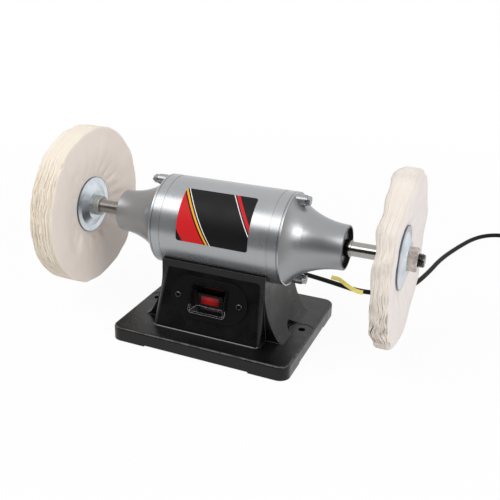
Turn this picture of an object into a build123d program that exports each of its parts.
from build123d import *
import math
import os

# Twin-ended bench buffing grinder, in millimetres. +X runs along the shaft to the right, +Y to
# the back and +Z up. The origin is on the bench, under the middle of the shaft. A station is a
# distance along the shaft from its middle, the same on the left and on the right.

# Fits
seat_gap = 0.05
pass_gap = 0.3
running_gap = 0.4
overrun = 6.0

# Shaft
shaft_height = 130.4
shaft_radius = 12.5
journal_radius = 10.0
journal_reach = 5.3
arbor_radius = 8.5
arbor_shoulder_depth = 8.0
thread_radius = 8.0
shaft_end_reach = 35.5
shaft_end_chamfer = 1.5

# Motor barrel
barrel_radius = 55.5
barrel_half_length = 79.4
barrel_wall = 3.0
band_station = 68.0
band_groove_width = 1.0
band_groove_depth = 0.4

# End bells
bell_length = 65.8
bell_flange_width = 2.6
bell_step = 1.5
bell_throat_length = 20.6
bell_throat_radius = 37.6
bell_bow_share = 0.417
bell_bow_drop_share = 0.537
snout_radius = 26.4
snout_mouth_chamfer = 1.0
bell_wall = 4.5
hollow_tip_share = 0.35
spigot_length = 5.0
spigot_wall = 4.5
bearing_shoulder_radius = 19.0
bearing_shoulder_width = 4.0

# Tie bolts, lugs, washers and nuts
tie_bolt_radius = 3.0
lug_radius = 6.5
lug_length = 14.5
small_nut_across_flats = 10.0
small_nut_height = 5.0
bolt_head_height = 4.0
washer_radius = 6.0
washer_thickness = 1.6
bolt_tail = 3.0

# Ball bearings
bearing_inset = 12.2
bearing_outer_radius = 23.5
bearing_width = 14.0
ball_radius = 3.9
ball_count = 8
ball_start = 22.5
race_gap = 0.2
inner_land_radius = 13.8
outer_land_radius = 19.7
cage_wall = 1.7
cage_width = 10.0
pocket_gap = 0.1
shield_thickness = 0.6
shield_recess = 0.3
preload_height = 2.0
preload_sheet = 0.8

# Rotor and stator
rotor_share = 0.5333
rotor_half_length = 35.0
cage_bar_radius = 2.4
cage_bar_count = 18
cage_bar_depth = 4.0
end_ring_width = 8.0
end_ring_inset = 1.0
end_ring_bore_radius = 15.0
fan_blade_height = 8.0
fan_blade_thickness = 2.0
fan_blade_count = 9
stator_half_length = 36.0
slot_count = 18
slot_mouth_depth = 2.5
slot_mouth_width = 2.0
slot_width_share = 0.5
slot_depth_share = 0.498
winding_overhang = 20.0
winding_rounding = 5.0
winding_gap = 0.2

# Collars, flanges, arbor nuts
collar_reach = 35.8
collar_length = 9.0
collar_radius = 13.0
collar_chamfer = 0.8
flange_radius = 36.6
flange_sheet = 2.0
flange_dish = 5.0
flange_hub_radius = 19.0
flange_rim_width = 8.0
arbor_nut_across_flats = 24.0
arbor_nut_height = 10.0
arbor_nut_chamfer = 1.6
nut_turn = 30.0

# Cotton buffs
buff_radius = 100.0
buff_clamp_thickness = 10.0
buff_spread = {"left": 3.0, "right": 0.0}
buff_inner_bulge = {"left": 13.0, "right": 8.0}
buff_outer_bulge = {"left": 19.5, "right": 13.0}
buff_bore_gap = 0.3
buff_clamp_margin = 2.5
buff_full_share = 0.78
buff_edge_radius = 3.5

# Base casting
plate_width = 225.0
plate_depth = 189.0
plate_height = 17.5
plate_forward = 4.0
plate_corner_radius = 13.0
plate_edge_radius = 3.0
plate_web = 7.0
pocket_corner_radius = 12.0
skirt_wall = 9.0
pad_length = 46.0
pad_relief = 1.5
cast_wall = 6.0
saddle_drop = 33.4
panel_foot_half_width = 69.4
panel_foot_half_depth = 72.5
panel_head_half_width = 62.5
panel_head_half_depth = 46.6
panel_corner_radius = 7.0
column_half_width = 66.4
flare_half_depth = 49.5
flare_drop = 17.0
flare_radius = 109.0
flare_foot_radius = 10.0
base_bolt_station = 98.5
base_bolt_hole_radius = 4.25
base_boss_radius = 11.0
spot_face_radius = 14.0
spot_face_depth = 0.5
wrench_radius = 17.5

# Bottom cover and its screws
cover_sheet = 1.5
cover_rise = 2.0
cover_gap = 0.5
cover_screw_inset = 10.0
cover_boss_radius = 6.0
cover_screw_radius = 2.0
cover_screw_head_radius = 3.8
cover_screw_head_height = 1.6
cover_screw_length = 9.0

# Screws that hold the barrel on the saddle
mount_screw_station = 49.0
mount_screw_angle = 25.0
mount_screw_radius = 3.0
mount_screw_tail = 1.0

# Run capacitor and its clip
capacitor_radius = 15.0
capacitor_length = 58.0
capacitor_setback = 28.0
capacitor_edge_radius = 2.0
clip_sheet = 1.0
clip_width = 14.0
clip_foot = 9.0

# Switch
switch_height = 58.5
switch_plate_length = 98.0
switch_plate_height = 50.0
switch_plate_sheet = 1.5
panel_screw_inset = 9.7
panel_screw_radius = 1.9
panel_screw_head_radius = 4.0
panel_screw_head_height = 2.2
panel_screw_length = 12.0
bezel_width = 47.0
bezel_height = 36.0
bezel_corner_radius = 4.0
bezel_rise = 2.0
bezel_lip = 2.2
funnel_depth = 8.5
housing_width = 42.0
housing_height = 30.0
housing_depth = 30.0
housing_wall = 2.0
housing_corner_radius = 2.0
rocker_width = 32.4
rocker_half_height = 7.6
rocker_pivot_depth = 7.0
rocker_body_depth = 4.0
rocker_body_half_height = 5.0
rocker_travel = 20.0
rocker_gap = 0.35
rocker_pin_radius = 1.5
rocker_pin_gap = 0.08
rocker_pin_length = 1.4
window_width = 22.7
window_height = 9.5
window_thickness = 1.2
window_proud = 0.3
terminal_width = 4.8
terminal_thickness = 0.8
terminal_length = 8.0
terminal_spacing = 12.0

# Nameplate on the barrel
nameplate_half_length = 45.0
nameplate_start = 114.5
nameplate_sweep = 69.5
nameplate_thickness = 0.4
nameplate_corner_radius = 3.0

# Cord and what is on it
cord_radius = 3.25
cord_exit_x = -40.0
cord_exit_height = 30.0
relief_length = 32.0
relief_flange_radius = 9.0
relief_flange_thickness = 3.0
relief_base_radius = 6.5
relief_tip_radius = 4.6
relief_neck_radius = 6.0
relief_neck_length = 10.0
cord_lead = 30.0
cord_bend_share = 0.45
coil_centre = (344.0, 427.0)
coil_radius = 46.0
coil_turns_in = 2.5
coil_climb_turns = 0.5
coil_turns_out = 2.25
coil_step = 7.1
tie_sheet = 0.6
tie_width = 6.0
tie_gap = 0.4
tie_slack = 0.8
tie_turn_share = 0.5
plug_lead = 34.0
plug_width = 34.0
plug_neck_radius = 6.0
plug_taper_length = 24.0
plug_body_length = 24.0
plug_corner_radius = 8.0
plug_floor_gap = 0.05
pin_radius = 2.4
pin_length = 19.0
pin_spacing = 19.0
tag_length = 52.0
tag_width = 6.0
tag_sheet = 0.4
tag_gap = 1.2
tag_sections = 5
tag_twist = 180.0

# The cord's route on the bench after its exit, up to the coil
floor_height = cord_radius + seat_gap
cord_route_tail = [
    (-32.0, 158.0, 37.0),
    (-12.0, 179.0, 16.0),
    (18.0, 184.0, 4.5),
    (52.0, 180.5, floor_height),
    (90.0, 171.0, floor_height),
    (130.0, 159.5, floor_height),
    (167.0, 171.0, floor_height),
    (191.0, 209.0, floor_height),
    (203.0, 266.0, floor_height),
    (211.0, 326.0, floor_height),
    (228.0, 387.0, floor_height),
    (247.0, 441.0, floor_height),
    (272.0, 470.0, floor_height),
]

# Worked-out sizes
bell_end_station = barrel_half_length + bell_length
bearing_station = bell_end_station - bearing_inset
journal_end_station = bell_end_station + journal_reach
collar_station = bell_end_station + collar_reach
arbor_shoulder_station = collar_station + arbor_shoulder_depth
flange_station = collar_station + collar_length + flange_dish
shaft_end_station = flange_station + shaft_end_reach
barrel_bore_radius = barrel_radius - barrel_wall
spigot_radius = barrel_bore_radius - seat_gap
lug_end_station = barrel_half_length + lug_length
tie_bolt_offset = barrel_radius - lug_radius
bearing_inner_station = bearing_station - bearing_width / 2
bearing_outer_station = bearing_station + bearing_width / 2
pitch_radius = (inner_land_radius + outer_land_radius) / 2
race_radius = ball_radius + race_gap
buff_centre_station = flange_station + flange_sheet + buff_clamp_thickness / 2
outer_rim_station = buff_centre_station + buff_clamp_thickness / 2
arbor_nut_station = outer_rim_station + flange_dish + flange_sheet
rotor_radius = rotor_share * barrel_bore_radius
stator_bore_radius = rotor_radius + running_gap
slot_depth = slot_depth_share * (barrel_bore_radius - stator_bore_radius)
slot_width = slot_width_share * 2 * math.pi * (stator_bore_radius + slot_mouth_depth) / slot_count
slot_floor_radius = stator_bore_radius + slot_mouth_depth + slot_depth
pocket_top = plate_height - plate_web
cover_top = cover_rise + cover_sheet
saddle_top = shaft_height - saddle_drop
flare_top = saddle_top - flare_drop
panel_rise = saddle_top - plate_height
panel_lean = math.degrees(math.atan2(panel_foot_half_depth - panel_head_half_depth, panel_rise))
panel_screw_spacing = switch_plate_length - 2 * panel_screw_inset
bezel_top = switch_plate_sheet + bezel_rise
funnel_floor = bezel_top - funnel_depth
rocker_pivot_height = funnel_floor - rocker_pivot_depth
rocker_half_angle = rocker_travel / 2
rocker_tip_height = rocker_pivot_depth + rocker_half_height * math.tan(math.radians(rocker_half_angle))
rocker_swing_radius = math.hypot(rocker_half_height, rocker_tip_height)
rocker_slot_half_height = math.sqrt(rocker_swing_radius ** 2 - rocker_pivot_depth ** 2) + rocker_gap
coil_floor = cord_radius + tie_gap + tie_sheet
coil_layer = coil_step
cord_diameter = 2 * cord_radius
sides = {"left": -1, "right": 1}
shaft_axis = Axis((0, 0, shaft_height), (1, 0, 0))
os.makedirs("parts", exist_ok=True)


def save(builder, label):
    """Label a finished piece and write it to its own file."""
    builder.part.label = label
    export_step(builder.part, f"parts/{label}.step")


def half_section(side):
    """Plane of a turned profile: x is the station on that side, y the radius."""
    return Plane(origin=(0, 0, shaft_height), x_dir=(side, 0, 0), z_dir=(0, -side, 0))


def across_shaft(side, station):
    """Plane square to the shaft, facing outwards, with its x pointing up."""
    return Plane(origin=(side * station, 0, shaft_height), x_dir=(0, 0, 1), z_dir=(side, 0, 0))


def panel_half_depth(height):
    """Half depth of the sloping front and back panels at a height."""
    share = (height - plate_height) / panel_rise
    return panel_foot_half_depth + share * (panel_head_half_depth - panel_foot_half_depth)


def panel_half_width(height):
    """Half width of the same panels at a height."""
    share = (height - plate_height) / panel_rise
    return panel_foot_half_width + share * (panel_head_half_width - panel_foot_half_width)


def panel_plane(x, height, facing):
    """Plane on the front (-1) or back (1) panel, its normal pointing out of the casting."""
    lean = math.radians(panel_lean)
    origin = (x, facing * panel_half_depth(height), height)
    return Plane(origin=origin, x_dir=(-facing, 0, 0), z_dir=(0, facing * math.cos(lean), math.sin(lean)))


def mount_screw_planes():
    """Planes at the barrel's axis that point down through the saddle, one for each screw."""
    for side in sides.values():
        for angle in (-mount_screw_angle, mount_screw_angle):
            lean = math.radians(angle)
            origin = (side * mount_screw_station, 0, shaft_height)
            yield Plane(origin=origin, x_dir=(1, 0, 0), z_dir=(0, math.sin(lean), -math.cos(lean)))


switch_plane = panel_plane(0, switch_height, -1)
exit_plane = panel_plane(cord_exit_x, cord_exit_height, 1)
base_bolt_places = [(side * base_bolt_station, -plate_forward) for side in sides.values()]
pocket_half_width = plate_width / 2 - skirt_wall
pocket_half_depth = plate_depth / 2 - skirt_wall
cover_half_width = pocket_half_width - cover_gap
cover_half_depth = pocket_half_depth - cover_gap
cover_screw_x = cover_half_width - cover_screw_inset
cover_screw_y = cover_half_depth - cover_screw_inset
cover_screw_places = [
    (x_side * cover_screw_x, y_side * cover_screw_y - plate_forward)
    for x_side in sides.values()
    for y_side in sides.values()
]


# Base casting: a hollow flared pedestal with sloping panels, on a skirted plate
def pedestal(inset, low, foot_radius, barrel_clear):
    """Solid of the pedestal, drawn in by inset all round, from a low level up to the barrel."""
    bow = flare_radius + inset
    turn = math.asin((flare_top - low - foot_radius) / (bow - foot_radius))
    with BuildPart() as body:
        for height in (low, saddle_top):
            with BuildSketch(Plane.XY.offset(height)):
                Rectangle(2 * (panel_half_width(height) - inset), 2 * (panel_half_depth(height) - inset))
        loft()
        fillet(body.edges().filter_by(lambda edge: abs((edge % 0).Z) > 0.5), panel_corner_radius)
        with BuildSketch(Plane.XZ):
            with BuildLine():
                top = Line((0, saddle_top), (column_half_width - inset, saddle_top))
                wall = Line(top @ 1, (column_half_width - inset, flare_top))
                bend = JernArc(wall @ 1, (0, -1), bow, math.degrees(turn))
                edge = bend
                if foot_radius:
                    edge = JernArc(bend @ 1, bend % 1, foot_radius, math.degrees(math.pi / 2 - turn))
                Polyline(edge @ 1, (0, low), (0, saddle_top))
            make_face()
            mirror(about=Plane.YZ)
        extrude(amount=flare_half_depth - inset, both=True)
        with BuildSketch(Plane.YZ):
            with Locations((0, shaft_height)):
                Circle(barrel_radius + barrel_clear)
        extrude(amount=plate_width, both=True, mode=Mode.SUBTRACT)
    return body.part


pedestal_skin = pedestal(0, plate_height, flare_foot_radius, seat_gap)
with BuildPart() as notched_skin:
    add(pedestal_skin)
    with BuildSketch(Plane.XY.offset(plate_height)):
        with Locations(*base_bolt_places):
            Circle(wrench_radius)
    extrude(amount=saddle_top, mode=Mode.SUBTRACT)
pedestal_hollow = pedestal(cast_wall, pocket_top - overrun, 0, cast_wall)

with BuildPart() as base_casting:
    with BuildSketch():
        with Locations((0, -plate_forward)):
            RectangleRounded(plate_width, plate_depth, plate_corner_radius)
    extrude(amount=plate_height)
    fillet(base_casting.edges().group_by(Axis.Z)[-1], plate_edge_radius)
    add(notched_skin.part)
    with BuildSketch():
        with Locations((0, -plate_forward)):
            RectangleRounded(2 * pocket_half_width, 2 * pocket_half_depth, pocket_corner_radius)
    extrude(amount=pocket_top, mode=Mode.SUBTRACT)
    with BuildSketch():
        with Locations(*base_bolt_places):
            Circle(base_boss_radius)
    extrude(amount=plate_height - spot_face_depth)
    with BuildSketch(Plane.XY.offset(cover_top)):
        with Locations(*cover_screw_places):
            Circle(cover_boss_radius)
    extrude(amount=pocket_top - cover_top + seat_gap)
    add(pedestal_hollow, mode=Mode.SUBTRACT)
    with BuildSketch():
        with Locations((0, -plate_forward)):
            Rectangle(plate_width - 2 * pad_length, plate_depth + overrun)
            Rectangle(plate_width + overrun, plate_depth - 2 * pad_length)
    extrude(amount=pad_relief, mode=Mode.SUBTRACT)
    with BuildSketch(Plane.XY.offset(plate_height - spot_face_depth)):
        with Locations(*base_bolt_places):
            Circle(spot_face_radius)
    extrude(amount=saddle_top, mode=Mode.SUBTRACT)
    with BuildSketch():
        with Locations(*base_bolt_places):
            Circle(base_bolt_hole_radius)
    extrude(amount=plate_height, mode=Mode.SUBTRACT)
    with BuildSketch(Plane.XY.offset(cover_top)):
        with Locations(*cover_screw_places):
            Circle(cover_screw_radius + seat_gap)
    extrude(amount=cover_screw_length, mode=Mode.SUBTRACT)
    with BuildSketch(switch_plane):
        Rectangle(housing_width + 2 * pass_gap, housing_height + 2 * pass_gap)
        with GridLocations(panel_screw_spacing, 0, 2, 1):
            Circle(panel_screw_radius + seat_gap)
    extrude(amount=-panel_screw_length - overrun, mode=Mode.SUBTRACT)
    with BuildSketch(exit_plane):
        Circle(relief_neck_radius + seat_gap)
    extrude(amount=-cast_wall - overrun, mode=Mode.SUBTRACT)
    for plane in mount_screw_planes():
        with BuildSketch(plane.offset(barrel_radius - overrun)):
            Circle(mount_screw_radius + pass_gap)
        extrude(amount=cast_wall + 2 * overrun, mode=Mode.SUBTRACT)
save(base_casting, "base_casting")

# Bottom cover: a sheet inside the skirt, notched round the bolt bosses
with BuildPart() as bottom_cover:
    with BuildSketch(Plane.XY.offset(cover_rise)):
        with Locations((0, -plate_forward)):
            RectangleRounded(2 * cover_half_width, 2 * cover_half_depth, pocket_corner_radius - cover_gap)
        with Locations(*cover_screw_places):
            Circle(cover_screw_radius + seat_gap, mode=Mode.SUBTRACT)
        with Locations(*base_bolt_places):
            Circle(base_boss_radius + cover_gap, mode=Mode.SUBTRACT)
    extrude(amount=cover_sheet)
save(bottom_cover, "bottom_cover")

with BuildPart() as cover_screws:
    for start, radius, length in (
        (cover_rise, cover_screw_radius, cover_screw_length),
        (cover_rise, cover_screw_head_radius, -cover_screw_head_height),
    ):
        with BuildSketch(Plane.XY.offset(start)):
            with Locations(*cover_screw_places):
                Circle(radius)
        extrude(amount=length)
save(cover_screws, "cover_screws")

# Motor barrel: a tube with a fine groove near each end
with BuildPart() as motor_barrel:
    with BuildSketch(half_section(1)):
        with BuildLine():
            groove_out = band_station + band_groove_width / 2
            groove_in = band_station - band_groove_width / 2
            groove_radius = barrel_radius - band_groove_depth
            Polyline(
                (0, barrel_bore_radius),
                (barrel_half_length, barrel_bore_radius),
                (barrel_half_length, barrel_radius),
                (groove_out, barrel_radius),
                (groove_out, groove_radius),
                (groove_in, groove_radius),
                (groove_in, barrel_radius),
                (0, barrel_radius),
                close=True,
            )
        make_face()
    revolve(axis=shaft_axis)
    mirror(about=Plane.YZ)
    for plane in mount_screw_planes():
        with BuildSketch(plane.offset(barrel_bore_radius - overrun)):
            Circle(mount_screw_radius + pass_gap)
        extrude(amount=barrel_wall + 2 * overrun, mode=Mode.SUBTRACT)
save(motor_barrel, "motor_barrel")

# Screws and nuts that hold the barrel on the saddle, from inside the pedestal
mount_nut_corner = small_nut_across_flats / 2 / math.cos(math.pi / 6)
mount_nut_face = math.sqrt(barrel_bore_radius ** 2 - mount_nut_corner ** 2) - seat_gap
mount_nut_end = mount_nut_face - small_nut_height
with BuildPart() as saddle_screws:
    for plane in mount_screw_planes():
        with BuildSketch(plane.offset(mount_nut_end - mount_screw_tail)):
            Circle(mount_screw_radius)
        extrude(amount=barrel_radius + cast_wall - mount_nut_end + mount_screw_tail)
        with BuildSketch(plane.offset(barrel_radius + cast_wall)):
            RegularPolygon(small_nut_across_flats / 2, side_count=6, major_radius=False)
        extrude(amount=bolt_head_height)
save(saddle_screws, "saddle_screws")

with BuildPart() as saddle_nuts:
    for plane in mount_screw_planes():
        with BuildSketch(plane.offset(mount_nut_end)):
            RegularPolygon(small_nut_across_flats / 2, side_count=6, major_radius=False)
            Circle(mount_screw_radius + seat_gap, mode=Mode.SUBTRACT)
        extrude(amount=small_nut_height)
save(saddle_nuts, "saddle_nuts")


# End bells: cast trumpets with a spigot in the barrel, lugs for the tie bolts and a bearing seat
def make_end_bell(hand):
    side = sides[hand]
    flange_end = barrel_half_length + bell_flange_width
    seat_station = bearing_inner_station - (preload_height if hand == "left" else 0)
    throat = (barrel_half_length + bell_throat_length, bell_throat_radius)
    shoulder = (flange_end, barrel_radius - bell_step)
    bow = (
        shoulder[0] + bell_bow_share * (throat[0] - shoulder[0]),
        shoulder[1] + bell_bow_drop_share * (throat[1] - shoulder[1]),
    )
    seat_radius = bearing_outer_radius + seat_gap
    hollow_end = seat_station - bearing_shoulder_width
    with BuildPart() as bell:
        with BuildSketch(half_section(side)):
            with BuildLine():
                Polyline(
                    (barrel_half_length - spigot_length, spigot_radius - spigot_wall),
                    (barrel_half_length - spigot_length, spigot_radius),
                    (barrel_half_length, spigot_radius),
                    (barrel_half_length, barrel_radius),
                    (flange_end, barrel_radius),
                    shoulder,
                )
                flare = ThreePointArc(shoulder, bow, throat)
                snout = TangentArc(
                    throat, (bell_end_station - snout_mouth_chamfer, snout_radius), tangent=flare % 1
                )
                hollow_rim = (flange_end, spigot_radius - spigot_wall)
                hollow_bow = flare @ 1 - Vector(0, bell_wall)
                hollow_tip = Vector(hollow_end, (snout @ hollow_tip_share).Y - bell_wall)
                Polyline(
                    snout @ 1,
                    (bell_end_station, snout_radius - snout_mouth_chamfer),
                    (bell_end_station, seat_radius),
                    (seat_station, seat_radius),
                    (seat_station, bearing_shoulder_radius),
                    (hollow_end, bearing_shoulder_radius),
                    hollow_tip,
                )
                ThreePointArc(hollow_tip, hollow_bow, hollow_rim)
                Line(hollow_rim, (barrel_half_length - spigot_length, spigot_radius - spigot_wall))
            make_face()
        revolve(axis=shaft_axis)
        with BuildSketch(across_shaft(side, barrel_half_length)):
            with Locations((tie_bolt_offset, 0), (-tie_bolt_offset, 0)):
                Circle(lug_radius)
        extrude(amount=lug_length)
        with BuildSketch(across_shaft(side, barrel_half_length - spigot_length - overrun)):
            with Locations((tie_bolt_offset, 0), (-tie_bolt_offset, 0)):
                Circle(tie_bolt_radius + pass_gap)
        extrude(amount=lug_length + spigot_length + 2 * overrun, mode=Mode.SUBTRACT)
    save(bell, f"{hand}_end_bell")


for hand in sides:
    make_end_bell(hand)

# Tie bolts: heads and washers on the right, nuts and washers on the left
washer_face = lug_end_station + washer_thickness
with BuildPart() as tie_bolts:
    with BuildSketch(across_shaft(-1, washer_face + small_nut_height + bolt_tail)):
        with Locations((tie_bolt_offset, 0), (-tie_bolt_offset, 0)):
            Circle(tie_bolt_radius)
    extrude(amount=-2 * washer_face - small_nut_height - bolt_tail)
    with BuildSketch(across_shaft(1, washer_face)):
        with Locations((tie_bolt_offset, 0), (-tie_bolt_offset, 0)):
            RegularPolygon(small_nut_across_flats / 2, side_count=6, major_radius=False)
    extrude(amount=bolt_head_height)
save(tie_bolts, "tie_bolts")

with BuildPart() as tie_bolt_washers:
    for side in sides.values():
        with BuildSketch(across_shaft(side, lug_end_station)):
            with Locations((tie_bolt_offset, 0), (-tie_bolt_offset, 0)):
                Circle(washer_radius)
                Circle(tie_bolt_radius + pass_gap, mode=Mode.SUBTRACT)
        extrude(amount=washer_thickness)
save(tie_bolt_washers, "tie_bolt_washers")

with BuildPart() as tie_bolt_nuts:
    with BuildSketch(across_shaft(-1, washer_face)):
        with Locations((tie_bolt_offset, 0), (-tie_bolt_offset, 0)):
            RegularPolygon(small_nut_across_flats / 2, side_count=6, major_radius=False)
            Circle(tie_bolt_radius + seat_gap, mode=Mode.SUBTRACT)
    extrude(amount=small_nut_height)
save(tie_bolt_nuts, "tie_bolt_nuts")


# Deep-groove ball bearings: two grooved rings, balls in a cage, and two shields
def make_bearing(hand):
    side = sides[hand]
    land_half_width = math.sqrt(race_radius ** 2 - (outer_land_radius - pitch_radius) ** 2)
    rings = (
        ("outer_ring", outer_land_radius, bearing_outer_radius, pitch_radius + race_radius),
        ("inner_ring", inner_land_radius, journal_radius + seat_gap, pitch_radius - race_radius),
    )
    for name, land, back, groove in rings:
        with BuildPart() as ring:
            with BuildSketch(half_section(side)):
                with BuildLine():
                    ThreePointArc(
                        (bearing_station - land_half_width, land),
                        (bearing_station, groove),
                        (bearing_station + land_half_width, land),
                    )
                    Polyline(
                        (bearing_station + land_half_width, land),
                        (bearing_outer_station, land),
                        (bearing_outer_station, back),
                        (bearing_inner_station, back),
                        (bearing_inner_station, land),
                        (bearing_station - land_half_width, land),
                    )
                make_face()
            revolve(axis=shaft_axis)
        save(ring, f"{hand}_bearing_{name}")
    with BuildPart() as balls:
        with Locations(across_shaft(side, bearing_station)):
            with PolarLocations(pitch_radius, ball_count, ball_start):
                Sphere(ball_radius)
    save(balls, f"{hand}_bearing_balls")
    with BuildPart() as cage:
        with BuildSketch(across_shaft(side, bearing_station)):
            Circle(pitch_radius + cage_wall / 2)
            Circle(pitch_radius - cage_wall / 2, mode=Mode.SUBTRACT)
        extrude(amount=cage_width / 2, both=True)
        for ball in range(ball_count):
            angle = math.radians(ball_start) + 2 * math.pi * ball / ball_count
            radial = (0, math.sin(angle), math.cos(angle))
            origin = (side * bearing_station, 0, shaft_height)
            with BuildSketch(Plane(origin=origin, x_dir=(1, 0, 0), z_dir=radial)):
                Circle(ball_radius + pocket_gap)
            extrude(amount=pitch_radius + cage_wall, mode=Mode.SUBTRACT)
    save(cage, f"{hand}_bearing_cage")
    with BuildPart() as shields:
        for station in (
            bearing_inner_station + shield_recess,
            bearing_outer_station - shield_recess - shield_thickness,
        ):
            with BuildSketch(across_shaft(side, station)):
                Circle(outer_land_radius - seat_gap)
                Circle(inner_land_radius + running_gap, mode=Mode.SUBTRACT)
            extrude(amount=shield_thickness)
    save(shields, f"{hand}_bearing_shields")


for hand in sides:
    make_bearing(hand)

# Preload washer: a coned spring between the left bearing seat and its outer ring
with BuildPart() as preload_washer:
    cone_start = bearing_inner_station - preload_height
    cone_end = bearing_inner_station - preload_sheet
    with BuildSketch(half_section(-1)):
        with BuildLine():
            Polyline(
                (cone_start, bearing_shoulder_radius + pass_gap),
                (cone_start + preload_sheet, bearing_shoulder_radius + pass_gap),
                (bearing_inner_station, bearing_outer_radius - pass_gap),
                (cone_end, bearing_outer_radius - pass_gap),
                close=True,
            )
        make_face()
    revolve(axis=shaft_axis)
save(preload_washer, "preload_washer")

# Stator: laminated stack with open slots, notched for the tie bolts
with BuildPart() as stator_core:
    with BuildSketch(across_shaft(1, 0)):
        Circle(barrel_bore_radius - seat_gap)
        Circle(stator_bore_radius, mode=Mode.SUBTRACT)
        with PolarLocations(slot_floor_radius - slot_depth / 2, slot_count):
            Rectangle(slot_depth, slot_width, mode=Mode.SUBTRACT)
        with PolarLocations(stator_bore_radius + slot_mouth_depth / 2, slot_count):
            Rectangle(slot_mouth_depth * 2, slot_mouth_width, mode=Mode.SUBTRACT)
        notch_depth = barrel_radius - tie_bolt_offset + tie_bolt_radius + pass_gap
        with Locations((barrel_radius - notch_depth / 2, 0), (notch_depth / 2 - barrel_radius, 0)):
            Rectangle(notch_depth, 2 * (tie_bolt_radius + pass_gap), mode=Mode.SUBTRACT)
    extrude(amount=stator_half_length, both=True)
save(stator_core, "stator_core")

# Windings: bundles through the slots, joined by a bound ring of end turns at each end
with BuildPart() as stator_windings:
    with BuildSketch(across_shaft(1, 0)):
        with PolarLocations(slot_floor_radius - slot_depth / 2, slot_count):
            Rectangle(slot_depth - 2 * winding_gap, slot_width - 2 * winding_gap)
    extrude(amount=stator_half_length + winding_overhang / 2, both=True)
    for side in sides.values():
        with BuildSketch(half_section(side)):
            with Locations((
                stator_half_length + winding_gap + winding_overhang / 2, slot_floor_radius - slot_depth / 2
            )):
                RectangleRounded(winding_overhang, slot_depth + 2 * winding_gap, winding_rounding)
        revolve(axis=shaft_axis)
save(stator_windings, "stator_windings")

# Rotor: laminated core with the bars of a cast cage through it
with BuildPart() as rotor_core:
    with BuildSketch(across_shaft(1, 0)):
        Circle(rotor_radius)
        Circle(shaft_radius + seat_gap, mode=Mode.SUBTRACT)
        with PolarLocations(rotor_radius - cage_bar_depth, cage_bar_count):
            Circle(cage_bar_radius + seat_gap, mode=Mode.SUBTRACT)
    extrude(amount=rotor_half_length, both=True)
save(rotor_core, "rotor_core")

with BuildPart() as rotor_cage:
    with BuildSketch(across_shaft(1, 0)):
        with PolarLocations(rotor_radius - cage_bar_depth, cage_bar_count):
            Circle(cage_bar_radius)
    extrude(amount=rotor_half_length + end_ring_width / 2, both=True)
    ring_outer = rotor_radius - end_ring_inset
    for side in sides.values():
        with BuildSketch(across_shaft(side, rotor_half_length)):
            Circle(ring_outer)
            Circle(end_ring_bore_radius, mode=Mode.SUBTRACT)
        extrude(amount=end_ring_width)
        with BuildSketch(across_shaft(side, rotor_half_length)):
            with PolarLocations((ring_outer + end_ring_bore_radius) / 2, fan_blade_count):
                Rectangle(ring_outer - end_ring_bore_radius - 2 * pass_gap, fan_blade_thickness)
        extrude(amount=end_ring_width + fan_blade_height)
save(rotor_cage, "rotor_cage")

# Shaft: stepped from the rotor seat to the journals, the arbors and the threaded ends
with BuildPart() as rotor_shaft:
    with BuildSketch(half_section(1)):
        with BuildLine():
            Polyline(
                (0, 0),
                (shaft_end_station, 0),
                (shaft_end_station, thread_radius - shaft_end_chamfer),
                (shaft_end_station - shaft_end_chamfer, thread_radius),
                (arbor_shoulder_station, thread_radius),
                (arbor_shoulder_station, arbor_radius),
                (journal_end_station, arbor_radius),
                (journal_end_station, journal_radius),
                (bearing_inner_station, journal_radius),
                (bearing_inner_station, shaft_radius),
                (0, shaft_radius),
                close=True,
            )
        make_face()
    revolve(axis=shaft_axis)
    mirror(about=Plane.YZ)
save(rotor_shaft, "rotor_shaft")


# Arbor ends: a collar on the shaft's shoulder, two dished flanges, a cotton buff and a hex nut
def make_collar(hand):
    with BuildPart() as collar:
        with BuildSketch(half_section(sides[hand])):
            with BuildLine():
                Polyline(
                    (collar_station, arbor_radius + seat_gap),
                    (arbor_shoulder_station + seat_gap, arbor_radius + seat_gap),
                    (arbor_shoulder_station + seat_gap, thread_radius + seat_gap),
                    (collar_station + collar_length, thread_radius + seat_gap),
                    (collar_station + collar_length, collar_radius),
                    (collar_station + collar_chamfer, collar_radius),
                    (collar_station, collar_radius - collar_chamfer),
                    close=True,
                )
            make_face()
        revolve(axis=shaft_axis)
    save(collar, f"{hand}_collar")


def make_flange(hand, name, rim_station, outward):
    """A pressed disc: its rim starts at a station, its hub is dished towards outward."""
    hub_station = rim_station + outward * flange_dish
    far_hub = hub_station + outward * flange_sheet
    far_rim = rim_station + outward * flange_sheet
    slope_end = flange_radius - flange_rim_width
    with BuildPart() as flange:
        with BuildSketch(half_section(sides[hand])):
            with BuildLine():
                Polyline(
                    (hub_station, thread_radius + seat_gap),
                    (hub_station, flange_hub_radius),
                    (rim_station, slope_end),
                    (rim_station, flange_radius),
                    (far_rim, flange_radius),
                    (far_rim, slope_end),
                    (far_hub, flange_hub_radius),
                    (far_hub, thread_radius + seat_gap),
                    close=True,
                )
            make_face()
        revolve(axis=shaft_axis)
    save(flange, f"{hand}_{name}_flange")


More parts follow.
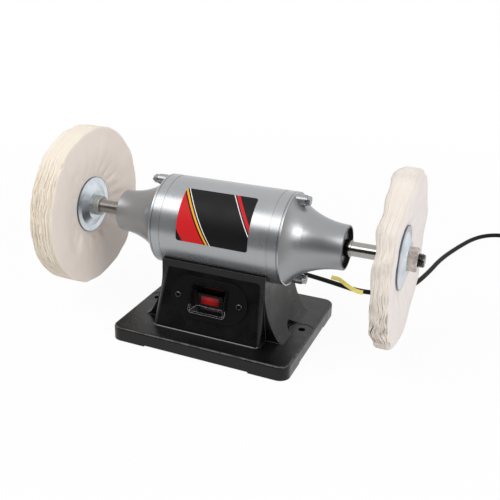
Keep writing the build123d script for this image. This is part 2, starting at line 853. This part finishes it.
def make_buff(hand):
    half_clamp = buff_clamp_thickness / 2
    outer_radius = buff_radius + buff_spread[hand]
    full_radius = buff_full_share * outer_radius
    clamp_radius = flange_radius + buff_clamp_margin
    bore_radius = thread_radius + buff_bore_gap
    with BuildPart() as buff:
        for face, bulge in ((-1, buff_inner_bulge[hand]), (1, buff_outer_bulge[hand])):
            with BuildSketch(half_section(sides[hand])):
                with BuildLine():
                    Polyline(
                        (buff_centre_station, outer_radius),
                        (buff_centre_station, bore_radius),
                        (buff_centre_station + face * half_clamp, bore_radius),
                        (buff_centre_station + face * half_clamp, clamp_radius),
                    )
                    swell = TangentArc(
                        (buff_centre_station + face * bulge, full_radius),
                        (buff_centre_station + face * half_clamp, clamp_radius),
                        tangent=(0, -1),
                    )
                    side_top = (buff_centre_station + face * bulge, outer_radius - buff_edge_radius)
                    Line(swell @ 0, side_top)
                    TangentArc(
                        side_top,
                        (buff_centre_station + face * (bulge - buff_edge_radius), outer_radius),
                        tangent=(0, 1),
                    )
                    Line(
                        (buff_centre_station + face * (bulge - buff_edge_radius), outer_radius),
                        (buff_centre_station, outer_radius),
                    )
                make_face()
            revolve(axis=shaft_axis)
    save(buff, f"{hand}_buff")


def make_arbor_nut(hand):
    side = sides[hand]
    corner = arbor_nut_across_flats / 2 / math.cos(math.pi / 6)
    far = arbor_nut_station + arbor_nut_height
    with BuildPart() as nut:
        with BuildSketch(across_shaft(side, arbor_nut_station)):
            RegularPolygon(arbor_nut_across_flats / 2, side_count=6, major_radius=False, rotation=nut_turn)
        extrude(amount=arbor_nut_height)
        with BuildSketch(half_section(side)):
            with BuildLine():
                Polyline(
                    (arbor_nut_station, thread_radius + seat_gap),
                    (arbor_nut_station, corner),
                    (far - arbor_nut_chamfer, corner),
                    (far, corner - arbor_nut_chamfer),
                    (far, thread_radius + seat_gap),
                    close=True,
                )
            make_face()
        revolve(axis=shaft_axis, mode=Mode.INTERSECT)
    save(nut, f"{hand}_arbor_nut")


for hand in sides:
    make_collar(hand)
    make_flange(hand, "inner", flange_station + flange_sheet, -1)
    make_flange(hand, "outer", outer_rim_station, 1)
    make_buff(hand)
    make_arbor_nut(hand)

# Run capacitor in its clip, on the bottom cover
capacitor_axis_height = cover_top + clip_sheet + seat_gap + capacitor_radius
with BuildPart() as run_capacitor:
    with BuildSketch(Plane.YZ):
        with Locations((capacitor_setback, capacitor_axis_height)):
            Circle(capacitor_radius)
    extrude(amount=capacitor_length / 2, both=True)
    fillet(run_capacitor.edges().filter_by(GeomType.CIRCLE), capacitor_edge_radius)
save(run_capacitor, "run_capacitor")

with BuildPart() as capacitor_clip:
    with BuildSketch(Plane.YZ):
        clip_radius = capacitor_radius + seat_gap + clip_sheet
        with Locations((capacitor_setback, capacitor_axis_height)):
            Circle(clip_radius)
        with Locations((capacitor_setback, cover_top + clip_sheet / 2)):
            Rectangle(2 * (clip_radius + clip_foot), clip_sheet)
        with Locations((capacitor_setback, capacitor_axis_height)):
            Circle(capacitor_radius + seat_gap, mode=Mode.SUBTRACT)
    extrude(amount=clip_width / 2, both=True)
save(capacitor_clip, "capacitor_clip")

# Switch plate on the sloping front panel, with its two screws
with BuildPart() as switch_plate:
    with BuildSketch(switch_plane):
        SlotOverall(switch_plate_length, switch_plate_height)
        Rectangle(housing_width + 2 * pass_gap, housing_height + 2 * pass_gap, mode=Mode.SUBTRACT)
        with GridLocations(panel_screw_spacing, 0, 2, 1):
            Circle(panel_screw_radius + seat_gap, mode=Mode.SUBTRACT)
    extrude(amount=switch_plate_sheet)
save(switch_plate, "switch_plate")

with BuildPart() as panel_screws:
    with BuildSketch(switch_plane.offset(switch_plate_sheet)):
        with GridLocations(panel_screw_spacing, 0, 2, 1):
            Circle(panel_screw_radius)
    extrude(amount=-panel_screw_length)
    with BuildSketch(switch_plane.offset(switch_plate_sheet)):
        with GridLocations(panel_screw_spacing, 0, 2, 1):
            Circle(panel_screw_head_radius)
    extrude(amount=panel_screw_head_height)
    fillet(panel_screws.faces().sort_by(Axis(switch_plane.origin, switch_plane.z_dir))[-2:].edges(),
           panel_screw_head_height / 2)
save(panel_screws, "panel_screws")

# Switch housing: a bezel with sloping sides that lead down to the rocker's slot
with BuildPart() as switch_housing:
    with BuildSketch(switch_plane.offset(switch_plate_sheet)):
        RectangleRounded(bezel_width, bezel_height, bezel_corner_radius)
    extrude(amount=bezel_rise)
    with BuildSketch(switch_plane.offset(switch_plate_sheet)):
        RectangleRounded(housing_width, housing_height, housing_corner_radius)
    extrude(amount=-housing_depth)
    with BuildSketch(switch_plane.offset(bezel_top)):
        Rectangle(bezel_width - 2 * bezel_lip, bezel_height - 2 * bezel_lip)
    with BuildSketch(switch_plane.offset(funnel_floor)):
        Rectangle(rocker_width + 2 * rocker_gap, 2 * rocker_slot_half_height)
    loft(mode=Mode.SUBTRACT)
    with BuildSketch(switch_plane.offset(switch_plate_sheet - housing_depth + housing_wall)):
        Rectangle(rocker_width + 2 * rocker_gap, housing_height - 2 * housing_wall)
    extrude(amount=housing_depth + funnel_floor - switch_plate_sheet - 2 * housing_wall, mode=Mode.SUBTRACT)
    with BuildSketch(switch_plane.offset(funnel_floor - housing_wall - seat_gap)):
        Rectangle(rocker_width + 2 * rocker_gap, 2 * rocker_slot_half_height + 2 * rocker_gap)
    extrude(amount=housing_wall + 2 * seat_gap, mode=Mode.SUBTRACT)
    pivot_plane = Plane(
        origin=switch_plane.origin + switch_plane.z_dir * rocker_pivot_height,
        x_dir=switch_plane.y_dir,
        z_dir=switch_plane.x_dir,
    )
    with BuildSketch(pivot_plane):
        Circle(rocker_pin_radius + rocker_pin_gap)
    extrude(amount=rocker_width / 2 + rocker_gap + rocker_pin_length, both=True, mode=Mode.SUBTRACT)
save(switch_housing, "switch_housing")


# Rocker: two faces that meet in a shallow valley, on two pins. It rests with its lower half in.
rest_angle = math.radians(rocker_half_angle)
rest_plane = Plane(
    origin=pivot_plane.origin,
    x_dir=pivot_plane.x_dir * math.cos(rest_angle) + pivot_plane.y_dir * math.sin(rest_angle),
    z_dir=pivot_plane.z_dir,
)
face_slope = math.tan(rest_angle)


def window_outline(half_height, top, bottom):
    """Closed side view of a bent strip on the rocker's two faces, offset from them."""
    rise = half_height * face_slope
    return [
        (-half_height, rocker_pivot_depth + rise + top),
        (0, rocker_pivot_depth + top),
        (half_height, rocker_pivot_depth + rise + top),
        (half_height, rocker_pivot_depth + rise + bottom),
        (0, rocker_pivot_depth + bottom),
        (-half_height, rocker_pivot_depth + rise + bottom),
    ]


with BuildPart() as switch_rocker:
    with BuildSketch(rest_plane):
        with BuildLine():
            Polyline(
                (-rocker_half_height, rocker_tip_height),
                (0, rocker_pivot_depth),
                (rocker_half_height, rocker_tip_height),
                (rocker_body_half_height, -rocker_body_depth),
                (-rocker_body_half_height, -rocker_body_depth),
                close=True,
            )
        make_face()
    extrude(amount=rocker_width / 2, both=True)
    with BuildSketch(rest_plane):
        Circle(rocker_pin_radius)
    extrude(amount=rocker_width / 2 + rocker_gap + rocker_pin_length - rocker_pin_gap, both=True)
    with BuildSketch(rest_plane):
        with BuildLine():
            Polyline(*window_outline(window_height / 2 + seat_gap, overrun, -window_thickness), close=True)
        make_face()
    extrude(amount=window_width / 2 + seat_gap, both=True, mode=Mode.SUBTRACT)
save(switch_rocker, "switch_rocker")

with BuildPart() as rocker_window:
    with BuildSketch(rest_plane):
        with BuildLine():
            Polyline(*window_outline(window_height / 2, window_proud, -window_thickness), close=True)
        make_face()
    extrude(amount=window_width / 2, both=True)
save(rocker_window, "rocker_window")

with BuildPart() as switch_terminals:
    with BuildSketch(switch_plane.offset(switch_plate_sheet - housing_depth)):
        with GridLocations(terminal_spacing, terminal_spacing, 2, 2):
            Rectangle(terminal_width, terminal_thickness)
    extrude(amount=-terminal_length)
save(switch_terminals, "switch_terminals")

# Nameplate: a thin curved plate on the front of the barrel
with BuildPart() as nameplate:
    start = math.radians(nameplate_start)
    plate_plane = Plane(
        origin=(0, 0, shaft_height), x_dir=(1, 0, 0), z_dir=(0, -math.sin(start), math.cos(start))
    )
    with BuildSketch(plate_plane):
        with Locations((0, barrel_radius + seat_gap + nameplate_thickness / 2)):
            Rectangle(2 * nameplate_half_length, nameplate_thickness)
    revolve(axis=shaft_axis, revolution_arc=nameplate_sweep)
    fillet(nameplate.edges().group_by(Edge.length)[0], nameplate_corner_radius)
save(nameplate, "nameplate")

# Strain relief: a rubber sleeve in the back panel that tapers towards the cord
with BuildPart() as strain_relief:
    with BuildSketch(exit_plane):
        Circle(relief_flange_radius)
    extrude(amount=relief_flange_thickness)
    with BuildSketch(exit_plane):
        Circle(relief_neck_radius)
    extrude(amount=-relief_neck_length)
    with BuildSketch(exit_plane):
        Circle(relief_base_radius)
    with BuildSketch(exit_plane.offset(relief_length)):
        Circle(relief_tip_radius)
    loft()
save(strain_relief, "strain_relief")

# Power cord: one tube from the strain relief over the bench to the coil
coil_start = Vector(coil_centre[0], coil_centre[1] + coil_radius, coil_floor)
cord_points = [
    exit_plane.origin + exit_plane.z_dir * relief_length,
    exit_plane.origin + exit_plane.z_dir * (relief_length + cord_lead),
    *(Vector(*point) for point in cord_route_tail),
    coil_start - Vector(cord_diameter + cord_lead, 0, 0),
    coil_start - Vector(cord_diameter, 0, 0),
]


def bend_radii(points):
    """Radius for every corner of a route, from the shorter run beside it and its turn."""
    radii = []
    for before, here, after in zip(points, points[1:], points[2:]):
        run = min((here - before).length, (after - here).length)
        turn = math.radians((here - before).get_angle(after - here))
        radii.append(cord_bend_share * run / math.tan(turn / 2))
    return radii


cord_radii = bend_radii(cord_points)
with BuildPart() as power_cord:
    with BuildLine() as cord_path:
        FilletPolyline(*cord_points, radius=cord_radii)
    with BuildSketch(Plane(origin=cord_points[0], z_dir=exit_plane.z_dir)):
        Circle(cord_radius)
    sweep(path=cord_path.line)
save(power_cord, "power_cord")
print("cord bend radii", [round(radius, 1) for radius in cord_radii])
cord_length = Wire(cord_path.edges()).length
cord_volume = math.pi * cord_radius ** 2 * cord_length
print("cord length", round(cord_length, 1), "volume share", round(power_cord.part.volume / cord_volume, 4))


# Coil: the rest of the cord, wound in on the bench, up at the middle and out on top
def coil_point(turns):
    """Point of the coil's centre line after some turns, clockwise from its start."""
    climb_start = coil_turns_in
    climb_end = coil_turns_in + coil_climb_turns
    inner_radius = coil_radius - coil_step * coil_turns_in
    radius = inner_radius
    height = coil_floor
    if turns < climb_start:
        radius = coil_radius - coil_step * turns
    elif turns > climb_end:
        radius = inner_radius + coil_step * (turns - climb_end)
        height = coil_floor + coil_layer
    else:
        share = (turns - climb_start) / coil_climb_turns
        radius -= coil_step * coil_climb_turns / math.pi * math.sin(math.pi * share)
        height = coil_floor + coil_layer * (share * share * (3 - 2 * share))
    angle = math.pi / 2 - 2 * math.pi * turns
    across = radius * math.cos(angle)
    along = radius * math.sin(angle)
    return Vector(coil_centre[0] + across, coil_centre[1] + along, height)


def coil_tangent(turns):
    """Direction of the coil there, level at both ends."""
    probe_share = 0.01
    ahead = coil_point(turns + probe_share)
    behind = coil_point(turns - probe_share)
    return (ahead - behind).normalized()


def joint_point(start, start_dir, end, end_dir):
    """Point where two arcs that leave both ends along their tangents meet smoothly."""
    span = end - start
    both = start_dir + end_dir
    square = 2 * (1 - start_dir.dot(end_dir))
    reach = (-span.dot(both) + math.sqrt(span.dot(both) ** 2 + square * span.dot(span))) / square
    return (start + end + (start_dir - end_dir) * reach) / 2


coil_turns = coil_turns_in + coil_climb_turns + coil_turns_out
steps_per_turn = 4
coil_stations = [step / steps_per_turn for step in range(round(coil_turns * steps_per_turn) + 1)]
coil_nodes = [coil_point(station) for station in coil_stations]
coil_dirs = [coil_tangent(station) for station in coil_stations]
coil_dirs[0] = Vector(1, 0, 0)
coil_dirs[-1] = Vector(0, -1, 0)
coil_end = coil_nodes[-1] + coil_dirs[-1] * plug_lead
with BuildPart() as cord_coil:
    with BuildLine() as coil_path:
        Line(coil_nodes[0] - coil_dirs[0] * cord_diameter, coil_nodes[0])
        for start, start_dir, end, end_dir in zip(coil_nodes, coil_dirs, coil_nodes[1:], coil_dirs[1:]):
            joint = joint_point(start, start_dir, end, end_dir)
            first = TangentArc(start, joint, tangent=start_dir)
            TangentArc(joint, end, tangent=first % 1)
        Line(coil_nodes[-1], coil_end)
    with BuildSketch(Plane(origin=coil_nodes[0] - coil_dirs[0] * cord_diameter, z_dir=coil_dirs[0])):
        Circle(cord_radius)
    sweep(path=coil_path.line)
save(cord_coil, "cord_coil")
coil_wire = Wire(coil_path.edges())
samples_per_turn = 60
sample_count = round(samples_per_turn * coil_turns)
coil_samples = [coil_wire @ (step / sample_count) for step in range(sample_count + 1)]
far_samples = round(samples_per_turn / steps_per_turn)
least_gap = min(
    (one - other).length - cord_diameter
    for index, one in enumerate(coil_samples)
    for other in coil_samples[index + far_samples:]
)
print("coil length", round(coil_wire.length, 1), "least gap between turns", round(least_gap, 2))

# Coil tie: a flat strap round the bundle
tie_angle = math.pi / 2 - 2 * math.pi * tie_turn_share
tie_dir = (math.cos(tie_angle), math.sin(tie_angle), 0)
bundle_inner = coil_radius - coil_step * coil_turns_in - cord_radius - tie_slack
bundle_outer = coil_radius - coil_step * tie_turn_share + cord_radius + tie_slack
bundle_width = bundle_outer - bundle_inner
bundle_height = coil_layer + cord_diameter + 2 * tie_gap
strap_width = bundle_width + 2 * tie_sheet
strap_height = bundle_height + 2 * tie_sheet
with BuildPart() as coil_tie:
    tie_plane = Plane(
        origin=(coil_centre[0], coil_centre[1], 0), x_dir=tie_dir, z_dir=(tie_dir[1], -tie_dir[0], 0)
    )
    with BuildSketch(tie_plane):
        with Locations(((bundle_inner + bundle_outer) / 2, tie_sheet + bundle_height / 2)):
            RectangleRounded(strap_width, strap_height, cord_radius + tie_sheet)
            RectangleRounded(bundle_width, bundle_height, cord_radius, mode=Mode.SUBTRACT)
    extrude(amount=tie_width / 2, both=True)
save(coil_tie, "coil_tie")

# Plug: a moulded body that widens from the cord, with two round pins
plug_plane = Plane(origin=coil_end, x_dir=(1, 0, 0), z_dir=coil_dirs[-1])
plug_height = 2 * (coil_end.Z - plug_floor_gap)
with BuildPart() as power_plug:
    with BuildSketch(plug_plane):
        Circle(plug_neck_radius)
    with BuildSketch(plug_plane.offset(plug_taper_length)):
        RectangleRounded(plug_width, plug_height, plug_corner_radius)
    loft()
    with BuildSketch(plug_plane.offset(plug_taper_length)):
        RectangleRounded(plug_width, plug_height, plug_corner_radius)
    extrude(amount=plug_body_length)
save(power_plug, "power_plug")

with BuildPart() as plug_pins:
    with BuildSketch(plug_plane.offset(plug_taper_length + plug_body_length)):
        with GridLocations(pin_spacing, 0, 2, 1):
            Circle(pin_radius)
    extrude(amount=pin_length)
    fillet(plug_pins.edges().group_by(Axis.Y)[0], pin_radius / 2)
save(plug_pins, "plug_pins")

# Tag: a paper strip twisted half a turn over the cord
tag_run = (Vector(*cord_route_tail[4]), Vector(*cord_route_tail[5]))
tag_dir = (tag_run[1] - tag_run[0]).normalized()
tag_middle = (tag_run[0] + tag_run[1]) / 2
tag_offset = cord_radius + tag_gap + tag_sheet / 2
with BuildPart() as cord_tag:
    for section in range(tag_sections):
        share = section / (tag_sections - 1)
        twist = math.radians(tag_twist * share)
        outward = Vector(-tag_dir.Y, tag_dir.X, 0) * math.cos(twist) + Vector(0, 0, 1) * math.sin(twist)
        origin = tag_middle + tag_dir * (share * tag_length - tag_length / 2) + outward * tag_offset
        with BuildSketch(Plane(origin=origin, x_dir=outward, z_dir=tag_dir)):
            Rectangle(tag_sheet, tag_width)
    loft(ruled=True)
save(cord_tag, "cord_tag")
print("cord and coil length", round(cord_length + coil_wire.length, 1))
